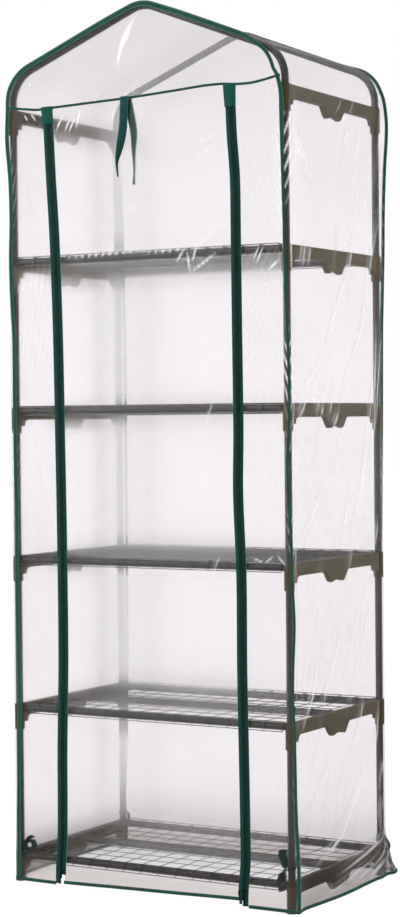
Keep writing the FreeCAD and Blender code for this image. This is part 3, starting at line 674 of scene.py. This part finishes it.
# A row of short painted highlights along the top of the shelf rail behind the door.
TICKS = [[(x, 1.3822), (x + 0.01, 1.3872)] for x in span(-0.19, 0.082, 17)]
front_folds += [fold(line, 0.0005, 0.0026, 0.0, 0.42) for line in TICKS]
front_folds += loose_folds(13, 26, (-0.2, 0.2), (0.3, 1.66), 0.85, (0.0003, 0.0007), (0.003, 0.0045),
                           (0.02, 0.06), 0.08)
back_folds = loose_folds(14, 34, (-0.31, 0.31), (0.1, 1.72), -0.28, (0.001, 0.0024), (0.005, 0.009),
                         (0.1, 0.35), 0.06)

# How strongly the corner seams gather the film, by height
PULLED = table((0.0, 0.35), (0.15, 0.4), (0.4, 0.3), (0.7, 0.45), (0.8, 0.85), (0.97, 0.8), (1.03, 0.5), (1.15, 0.85),
               (1.22, 0.45), (1.33, 0.6), (1.38, 0.95), (1.64, 1.0), (1.665, 0.15), (1.72, 0.0))
# Gathers along a seam: height, distance from one to the next, and how far they reach
GATHER_H, GATHER_STEP, GATHER_REACH = 0.0019, 0.036, 0.018
WRINKLE_STEP = 0.0155
# Pulled in to a seam, the film still passes round the upright at this distance from its axis
SNUG = 0.0118
# Height of the loose skirt, how far it bellies out at the walls and at the back, and the walls' own belly
SKIRT, SKIRT_OUT, SKIRT_BACK, WALL_OUT = 0.27, 0.013, 0.005, 0.003
# How far the seams pull the wrap out of its line, and how far it slides along to the back seam
FRONT_PULL, BACK_PULL, BACK_SLIDE = 0.06, 0.07, 0.2
# The right wall's back corner lies bunched on the ground: reach, height and how far it stands out
BUNCH_REACH, BUNCH_TOP, BUNCH_OUT = 0.15, 0.14, 0.01


def pucker(z, gap, phase):
    """Gathers along a stitched seam that slant up steeply and fade away from it."""
    near = exp(-gap / GATHER_REACH) * PULLED(z)
    if near < 0.03:
        return 0.0
    wave = sin((z - 3.2 * gap) * 2 * pi / GATHER_STEP + 5.0 * ripple(z * 7, phase, 0.3))
    return GATHER_H * near * max(0.0, wave) ** 1.5 * min(max(0.75 + 1.3 * ripple(z * 4, phase, 1.7), 0.0), 1.3)


def gathered(height):
    """How strongly a gather's painted highlight shows, from its height."""
    return ease(height / 0.001 - 0.3)


def belly(t):
    """0 at both ends of 0 to 1, and 1 in the middle."""
    return 4 * t * (1 - t)


def fine_pulls(x, z, lean, phase):
    """Fine parallel wrinkles, drawn slantwise across a narrow panel, from -1 to 1."""
    across = x * cos(lean) - z * sin(lean)
    where = min(max(0.55 + 1.5 * ripple(x * 6 + phase, z * 2.5, phase), 0.0), 1.0) * ease((z - 0.9) / 0.4)
    return where * sin(across * 2 * pi / WRINKLE_STEP + 2.5 * ripple(x * 14, z * 5, phase + 4))


def wrap_row(s):
    """One line of the cover from the front seam round both frames to the back seam."""
    x, z, nx, nz = outline(s)
    right, run = s < HALF_L, foot_run(s)
    on_roof = ease((run - ROOF_FROM) / 0.06)
    radius = WALL_R + (ARCH_R - WALL_R) * on_roof
    base = [(radius * cos(a), -COL_Y + radius * sin(a)) for a in span(-pi / 4, 0, 5)]
    base += [(radius, y) for y in span(-COL_Y, COL_Y, 190)[1:-1]]
    base += [(radius * cos(a), COL_Y + radius * sin(a)) for a in span(0, pi / 4, 5)]
    front, back = front_seam(s), back_seam(s)
    ends = [((p - Vector((x, p.y, z))).dot(Vector((nx, 0, nz))), p.y - MID_Y) for p in (front, back)]
    folds = right_folds if right else left_folds
    row = []
    for a, y in base:
        painted_light = 0.0
        from_front, from_back = y + COL_Y + radius, COL_Y + radius - y
        middle = belly(min(max((y + COL_Y) / (2 * COL_Y), 0.0), 1.0))
        if on_roof > 0.5:
            a -= 0.006 * middle * ease((run - 1.8) / 0.1)
            a += 0.0016 * ripple(s * 6, y * 9, 4.0) * middle
        else:
            a += SKIRT_OUT * middle * ease((SKIRT - z) / SKIRT) ** 1.3
            a += WALL_OUT * middle ** 1.4 * (0.5 + ripple(z * 2.2, y * 3, 7.0 if right else 9.0))
            rise, painted_mark = lift(folds, y, z)
            gather = pucker(z, from_front, 1.0 if right else 2.0)
            behind = pucker(z, max(from_back - 0.012, 0.0), 3.0 if right else 4.0)
            gather += (0.8 - 0.5 * ease((z - 1.3) / 0.08)) * behind
            a += rise + gather
            # Folds add their painted shade and highlight, and gathers a painted highlight.
            painted_light = painted_mark - 0.75 * gathered(gather)
            if right:
                # A painted highlight runs along the right front seam.
                painted_light -= 0.45 * exp(-((from_front - 0.015) / 0.003) ** 2) * PULLED(z)
                bunch = max(0.0, 1 - from_back / BUNCH_REACH) * ease((BUNCH_TOP - z) / 0.09)
                heap = sin(15 * atan2(0.105 - z, 0.222 - y) + 2 * ripple(y * 20, z * 20, 5.0))
                a += bunch * (BUNCH_OUT + 0.003 * heap)
                # Painted shade and painted highlight alternate across the bunched heap, with a faint painted
                # highlight over all of it.
                painted_light += 0.24 * bunch * heap - 0.05 * bunch
        pull_front = max(0.0, 1 - from_front / FRONT_PULL) ** 2
        pull_back = max(0.0, 1 - from_back / BACK_PULL) ** 2
        a += (ends[0][0] - base[0][0]) * pull_front + (ends[1][0] - base[-1][0]) * pull_back
        y += (ends[0][1] - base[0][1]) * pull_front
        y += (ends[1][1] - base[-1][1]) * max(0.0, 1 - from_back / BACK_SLIDE) ** 1.5
        column = COL_Y if y > 0 else -COL_Y
        near = hypot(a, y - column)
        if near < SNUG and on_roof < 0.5:
            a, y = a * SNUG / near, column + (y - column) * SNUG / near
        row.append((Vector((x + nx * a, MID_Y + y, z + nz * a)), painted_light))
    row[0], row[-1] = (front, 0.0), (back, 0.0)
    return row


half_roof = span(BEND_Z, BEND_Z + BEND_L, 16)[1:] + span(BEND_Z + BEND_L, HALF_L, 30)[1:]
wrap_s = span(FOOT, BEND_Z, 440) + half_roof
wrap_s += [FULL_L - s for s in reversed(span(FOOT, BEND_Z, 200) + half_roof[:-1])]
wrap = film_sheet("cover_wrap", [wrap_row(s) for s in wrap_s], side_film)
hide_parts("cover_left_wall", "cover_right_wall", "cover_roof")


def front_depth(x, z):
    """How far the front film stands from the middle, with its pulls and ripples."""
    rise, painted_light = lift(front_folds, x, z)
    return FACE + rise + 0.0006 * (0.5 + ripple(x * 9, z * 3, 12.0)), painted_light


# How far the strips' and the door's film end from the middle of a zip
STRIP_EDGE, DOOR_EDGE = 0.0063, 0.0105


def spread(spot, count, columns):
    """Rows of a sheet from its points by their shares of height and width."""
    return [[spot(q, t) for t in span(0, 1, columns)] for q in span(0, 1, count)]


def strip(left):
    """Film between a corner seam and its zip."""
    lean, draw, shade_weight, highlight_weight, phase = (0.12, 3.0, 0.03, 0.15, 6.0) if left else (0.52, 8.0, 0.1, 0.75, 5.0)
    top = seam_z(-0.29 if left else 0.29)

    def spot(q, t):
        z = FOOT + (top - FOOT) * q
        outer = -front_left_x(z) if left else front_right_x(z)
        inner = (left_zip(z) - STRIP_EDGE) if left else (right_zip(z) + STRIP_EDGE)
        x = outer + (inner - outer) * t if left else inner + (outer - inner) * t
        z = FOOT + (seam_z(x) - FOOT) * q
        gap = abs(x - outer)
        depth, painted_light = front_depth(x, z)
        gather = pucker(z, gap, phase)
        pulls = fine_pulls(x, z, lean, draw)
        depth += 0.6 * gather + (SEAM - FACE) * max(0.0, 1 - gap / 0.03) + 0.0003 * pulls
        # Fine pulls get a painted shade and gathers a painted highlight.
        painted_light += shade_weight * max(pulls, 0.0) - highlight_weight * gathered(gather)
        return Vector((x, MID_Y - depth, z)), painted_light

    return spot


for side in ("left", "right"):
    made = film_sheet("cover_strip_" + side, spread(strip(side == "left"), 440, 60), strip_film)
    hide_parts("cover_front_" + side)


def gable_spot(q, top):
    x = min(max(top.x, -0.347), 0.341)
    p = Vector((x, MID_Y - FACE, seam_z(x))).lerp(top, q)
    rise, painted_light = lift(front_folds, p.x, p.z)
    p.y -= 0.0022 * belly(q) * (0.6 + ripple(p.x * 6, p.z * 6, 3.0)) + rise * min(1, 3 * belly(q))
    return p, painted_light


tops = [front_seam(s) for s in span(1.726, FULL_L - 1.722, 200)]
gable = film_sheet("cover_gable", [[gable_spot(q, top) for top in tops] for q in span(0, 1, 44)], front_film)
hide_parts("cover_front_gable")


def door_foot(x):
    return 0.0155 + 0.0055 * (x / ZIP_X) + 0.0008 * ripple(x * 8, 1.0, 2.0)


def door_spot(q, t):
    z = 0.02 + (1.718 - 0.02) * q
    left, right = left_zip(z) + DOOR_EDGE, right_zip(z) - DOOR_EDGE
    x = left + (right - left) * t
    z = door_foot(x) + (seam_z(x) - door_foot(x)) * q
    depth, painted_light = front_depth(x, z)
    depth += 0.0012 * belly(t) * (0.5 + ripple(x * 4, z * 2.5, 21.0))
    return Vector((x, MID_Y - depth, z)), painted_light


door = film_sheet("door_sheet", spread(door_spot, 300, 130), front_film)
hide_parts("door_film")


def back_spot(left, right, t):
    p = left.lerp(right, t)
    p.y += SKIRT_BACK * belly(t) * ease((SKIRT - p.z) / SKIRT)
    rise, painted_light = lift(back_folds, p.x, p.z)
    p.y += (rise + 0.002 * (0.5 + ripple(p.x * 3, p.z * 2, 31.0))) * min(1.0, belly(t) * 3)
    return p, painted_light


edge = [back_seam(s) for s in span(FOOT, FULL_L - FOOT, 400)]
rows = [[back_spot(a, b, t) for t in span(0, 1, 64)] for a, b in zip(reversed(edge[200:]), edge[:200])]
back = film_sheet("cover_back_sheet", rows, back_film)
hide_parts("cover_back")


# Green edging

front_s = span(0.01, FULL_L - 0.01, 560)
outward = [Vector((outline(s)[2], 0, outline(s)[3])) for s in front_s]
path = [front_seam(s) + Vector((0, -0.0009, 0)) for s in front_s]
edge_width = table((0.0, 0.0086), (0.12, 0.0084), (0.35, 0.0068), (1.3, 0.0066), (1.55, 0.0074), (1.64, 0.0105),
                   (1.7, 0.0105), (1.75, 0.0076), (HALF_L - 0.18, 0.0116), (HALF_L + 0.3, 0.0122),
                   (FULL_L - 1.7, 0.0104), (FULL_L, 0.011))
edge_front = ribbon("edging_front", path, outward, [edge_width(s) for s in front_s], 0.0018, binding_tape)
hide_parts("binding_front")
path = [back_seam(s) + Vector((0, 0.0009, 0)) for s in front_s]
edge_back = ribbon("edging_back", path, outward, 0.008, 0.0018, back_tape)
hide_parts("binding_back")
xs = span(-0.344, 0.338, 140)
path = [Vector((x, MID_Y - FACE - 0.0016, seam_z(x))) for x in xs]
edge_seam = ribbon("edging_door_seam", path, UP, 0.0054, 0.0016, binding_tape)
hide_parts("binding_door_seam")


HEM_Z = 0.0105


def hem_paths():
    """Lower edges of the cover, by name."""
    made = {"right": [p for p, painted_light in wrap_row(FOOT)], "left": [p for p, painted_light in wrap_row(FULL_L - FOOT)]}
    a, b = back_seam(FULL_L - HEM_Z), back_seam(HEM_Z)
    made["back"] = [a.lerp(b, t) for t in span(0, 1, 60)]
    for t, p in zip(span(0, 1, 60), made["back"]):
        p.y += SKIRT_BACK * belly(t) + 0.001 * ripple(p.x * 6, 0.2, 8.0)
    for name, x0, x1 in (("front_left", -front_left_x(0.01), left_zip(0.01) - 0.0135),
                         ("front_right", right_zip(0.01) + 0.0135, front_right_x(0.01))):
        made[name] = [Vector((x, MID_Y - FACE - 0.0004, HEM_Z)) for x in span(x0, x1, 24)]
    return made


for name, path in hem_paths().items():
    path = [Vector((p.x, p.y, 0.0058 + 0.001 * ripple(p.x * 7, p.y * 7, 2.0))) for p in path]
    ribbon("hem_" + name, path, UP, HEM_H, 0.002, hem_tape)
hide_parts("bottom_hem")
xs = span(left_zip(0.02) + 0.0075, right_zip(0.02) - 0.0075, 70)
path = [Vector((x, MID_Y - FACE, door_foot(x) - 0.001)) for x in xs]
door_hem = ribbon("door_edge", path, UP, HEM_H, 0.0018, hem_tape, "door")
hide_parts("door_hem")


# Zips

SLIT = 0.0002
TAPE_WIDTHS = {"left": ZIP_TAPE, "right": 0.0122}
TAPE_Y = 0.2256
# Teeth: from one to the next, past the middle and back from it, half height at both ends, and depth
TOOTH_STEP, TOOTH_IN, TOOTH_OUT, TIP_H, ROOT_H = 0.0032, 0.0012, 0.0034, 0.0007, 0.0014
TOOTH_Y = TAPE_Y + 0.0002, TAPE_Y + 0.0014
TOOTH_FACES = (0, 1, 3, 2), (4, 6, 7, 5), (0, 4, 5, 1), (2, 3, 7, 6), (0, 2, 6, 4), (1, 5, 7, 3)


def zip_side(side, fixed):
    """One tape of a zip with its row of teeth."""
    middle = left_zip if side == "left" else right_zip
    way = (1 if fixed else -1) * (1 if side == "right" else -1)
    z0 = 0.006 if fixed else 0.026
    z1 = 1.7137
    wide = TAPE_WIDTHS[side]
    path = [Vector((middle(z) + way * (SLIT + wide / 2), MID_Y - TAPE_Y, z)) for z in span(z0, z1, 220)]
    name = ("zip_" if fixed else "door_zip_") + side
    made = ribbon(name, path, ACROSS_X, wide, 0.001, zip_cloth_lit_edge if way > 0 else zip_cloth)
    verts, faces = [], []
    for k in range(int((z1 - z0) / TOOTH_STEP)):
        z = z0 + (k + (0.25 if fixed else 0.75)) * TOOTH_STEP
        x = middle(z)
        for dx, dz in ((x - way * TOOTH_IN, TIP_H), (x + way * TOOTH_OUT, ROOT_H)):
            for y in TOOTH_Y:
                for up in (-1, 1):
                    verts.append(Vector((dx, MID_Y - y, z + up * dz)))
        faces += [tuple(len(verts) - 8 + i for i in face) for face in TOOTH_FACES]
    teeth = piece(name + "_teeth", verts, faces, zip_teeth, smooth=False)
    for item in (made, teeth):
        if not fixed:
            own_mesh(item)
    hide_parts(("zip_tape_" if fixed else "door_tape_") + side)
    return made, teeth


zips = {(side, fixed): zip_side(side, fixed) for side in ("left", "right") for fixed in (True, False)}
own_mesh(door)

for side, middle in (("left", left_zip), ("right", right_zip)):
    path = [Vector((middle(z), MID_Y - TAPE_Y - 0.0022 + 0.0003 * ripple(z * 30, 1.0, 4.0), z))
            for z in span(1.676, 1.713 if side == "left" else 1.724, 24)]
    ribbon("zip_tab_" + side, path, ACROSS_X, span(0.0266, 0.031, len(path)), 0.0009, tab_cloth)
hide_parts("zip_end_tabs")


# Tie straps and corner ties


def curve(points):
    """Smooth curve over 0 to 1 through evenly spaced points, listed in millimetres."""
    by_run = [table(*[(i / (len(points) - 1), p[k] / 1000) for i, p in enumerate(points)]) for k in range(3)]
    return lambda t: Vector([c(t) for c in by_run])


def strap(name, body, start, points, turns, widths):
    place, turn, wide = curve(points), table(*turns), table(*widths)
    steps = span(0, 1, 60)
    across = [Vector((cos(turn(t)), sin(turn(t)), 0.0)) for t in steps]
    path = [start + place(t) for t in steps]
    made = ribbon(name, path, across, [wide(t) for t in steps], 0.0008, ribbon_cloth, body)
    return made


outer = strap("strap_outer", "tie_strap_outer", Vector((-0.04, MID_Y - 0.2281, 1.719)),
              [(0, -0.2, 0), (-0.3, -2, -35), (-1.7, -4.6, -72), (-8, -6.6, -108), (-16, -6.6, -140),
               (-14.5, -5.6, -172)],
              [(0, 0.0), (0.35, 0.15), (0.7, 0.75), (1.0, 1.1)],
              [(0, 0.021), (0.45, 0.0185), (0.68, 0.0125), (0.82, 0.006), (1.0, 0.0034)])
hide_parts("tie_strap_outer")
inner = strap("strap_inner", "tie_strap_inner", Vector((-0.036, MID_Y - 0.223, 1.718)),
              [(0, 0, 0), (7, 4, -40), (12, 7, -78), (12, 6, -118), (13.5, 5, -155), (12.5, 4, -188)],
              [(0, 0.15), (0.3, 0.5), (0.6, 1.1), (0.85, 1.2), (1.0, 0.7)],
              [(0, 0.018), (0.4, 0.015), (0.65, 0.0085), (0.85, 0.005), (1.0, 0.0062)])
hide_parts("tie_strap_inner")


def corner_tie(name, sx, sy, up, lines):
    """Ribbon knotted round an upright, with its loops and tails."""
    centre = Vector((sx * COL_X, MID_Y + sy * COL_Y, LEVELS[0] + up))
    r = TUBE_R + 0.0011
    path = [centre + Vector((cos(a) * r, sin(a) * r, 0.003 * sin(a + 0.6)))
            for a in span(0, 2 * pi, 25)]
    pieces = [ribbon(name + "_loop", path, UP, 0.008, 0.0012, tie_cloth)]
    knot = centre + Vector((-sx * (TUBE_R + 0.003), 0.002 * sy, 0))
    steps = span(0, 1, 26)
    for label, wide, tilt, points in lines:
        place = curve(points)
        path = [knot + place(t) * Vector((-sx, -sy, 1)) for t in steps]
        across = [Vector((0.5 * sin(2 * t + tilt), 0.8, 0.6 * cos(2 * t + tilt))) for t in steps]
        pieces.append(ribbon(name + "_" + label, path, across, wide, 0.001, tie_cloth))
    return pieces


BOW = [("bow", 0.013, 0.3, [(0, 0, 0), (6, 1, 10), (19, 3, 12), (23, 4, 2), (13, 3, -5), (1, 1, -2)]),
       ("up", 0.012, 0.9, [(0, 0, 0), (5, 1, 11), (12, 2, 20), (22, 2, 24)]),
       ("down", 0.012, -0.4, [(0, 0, 0), (8, 0, -6), (12, 1, -14), (11, 1, -18)])]
HANG = [("up", 0.021, 0.2, [(0, 0, 0), (6, 1, 14), (10, 1, 26), (7, 0, 36)]),
        ("down", 0.025, -0.3, [(0, 0, 0), (9, 0, -10), (12, 1, -30), (7, 1, -50)])]
CURL = [("curl", 0.01, 0.6, [(0, 0, 0), (-6, -12, -2), (-16, -19, -10), (-21, -20, -22), (-17, -16, -34)])]
SHORT = [("down", 0.008, -0.4, [(0, 0, 0), (3, 0, -6), (4, 1, -12), (3, 1, -18)])]
ties = []
for tie in (("tie_front_right", 1, -1, 0.03, HANG), ("tie_front_left", -1, -1, 0.012, BOW),
            ("tie_back_right", 1, 1, 0.018, CURL), ("tie_back_left", -1, 1, 0.018, SHORT)):
    ties += corner_tie(*tie)
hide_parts("corner_ties")


# Lists of the zips' pieces and of the door's seam edging and hem, which nothing uses

list(zips["left", True])
list(zips["right", True])
[edge_seam, door_hem] + list(zips["left", False]) + list(zips["right", False])


# Floor, light and camera

floor = bpy.data.meshes.new("floor")
floor.from_pydata([(-30, -30, 0), (30, -30, 0), (30, 30, 0), (-30, 30, 0)], [], [(0, 1, 2, 3)])
made, tree, surface, place = start("floor_paper")
tone = ramp(tree, clouds(tree, place["Object"], 3.0), [(0.3, grey(0.93)), (0.7, grey(0.96))])
matt = add(tree, "BsdfPrincipled", {"Base Color": tone, "Roughness": 0.9, "Specular IOR Level": 0.1})
lit = add(tree, "Emission", {"Color": (1, 1, 1, 1), "Strength": 1.12})
mix_to(tree, surface, maths(tree, "MULTIPLY", seen_ray(tree), 0.8), matt, lit)
floor.materials.append(made)
floor = new_object("floor", floor)

world = bpy.data.worlds.new("studio")
scene.world = world
world.use_nodes = True
tree = world.node_tree
tree.nodes.clear()
surface = add(tree, "OutputWorld").inputs["Surface"]
plain = add(tree, "Background", {"Color": (1, 1, 1, 1), "Strength": 0.62})
white = add(tree, "Background", {"Color": (1, 1, 1, 1), "Strength": 1.0})
mix_to(tree, surface, seen_ray(tree), plain, white)


def lamp(name, place, aim, size, watts):
    data = bpy.data.lights.new(name, "AREA")
    data.shape = "RECTANGLE"
    data.size, data.size_y = size
    data.energy = watts
    made = new_object(name, data)
    made.location = place
    made.rotation_mode = "QUATERNION"
    made.rotation_quaternion = (Vector(aim) - Vector(place)).to_track_quat("-Z", "Y")


lamp("key", (-3.6, -2.6, 1.75), (0, 0, 1.75), (1.1, 3.0), 75)
lamp("rim", (3.6, 2.6, 1.55), (0, 0, 1.55), (1.1, 2.8), 46)
lamp("high", (-2.6, -3.6, 3.9), (0, 0, 1.6), (1.2, 1.2), 30)
lamp("top", (0.5, -0.6, 4.2), (0, 0, 1.0), (2.0, 2.0), 40)

camera = new_object("camera", bpy.data.cameras.new("camera"))
scene.camera = camera
az, pitch, roll = radians(30.405), radians(-1.045), radians(-0.54)
ahead = Vector((-sin(az) * cos(pitch), cos(az) * cos(pitch), sin(pitch)))
right = Vector((cos(az), sin(az), 0))
up = right.cross(ahead)
right, up = right * cos(roll) + up * sin(roll), up * cos(roll) - right * sin(roll)
turned = Matrix((right, up, -ahead)).transposed().to_4x4()
camera.matrix_world = Matrix.Translation((2.3996, -4.0905, 1.0242)) @ turned
camera.data.lens = 83.228
camera.data.sensor_width = 36.0
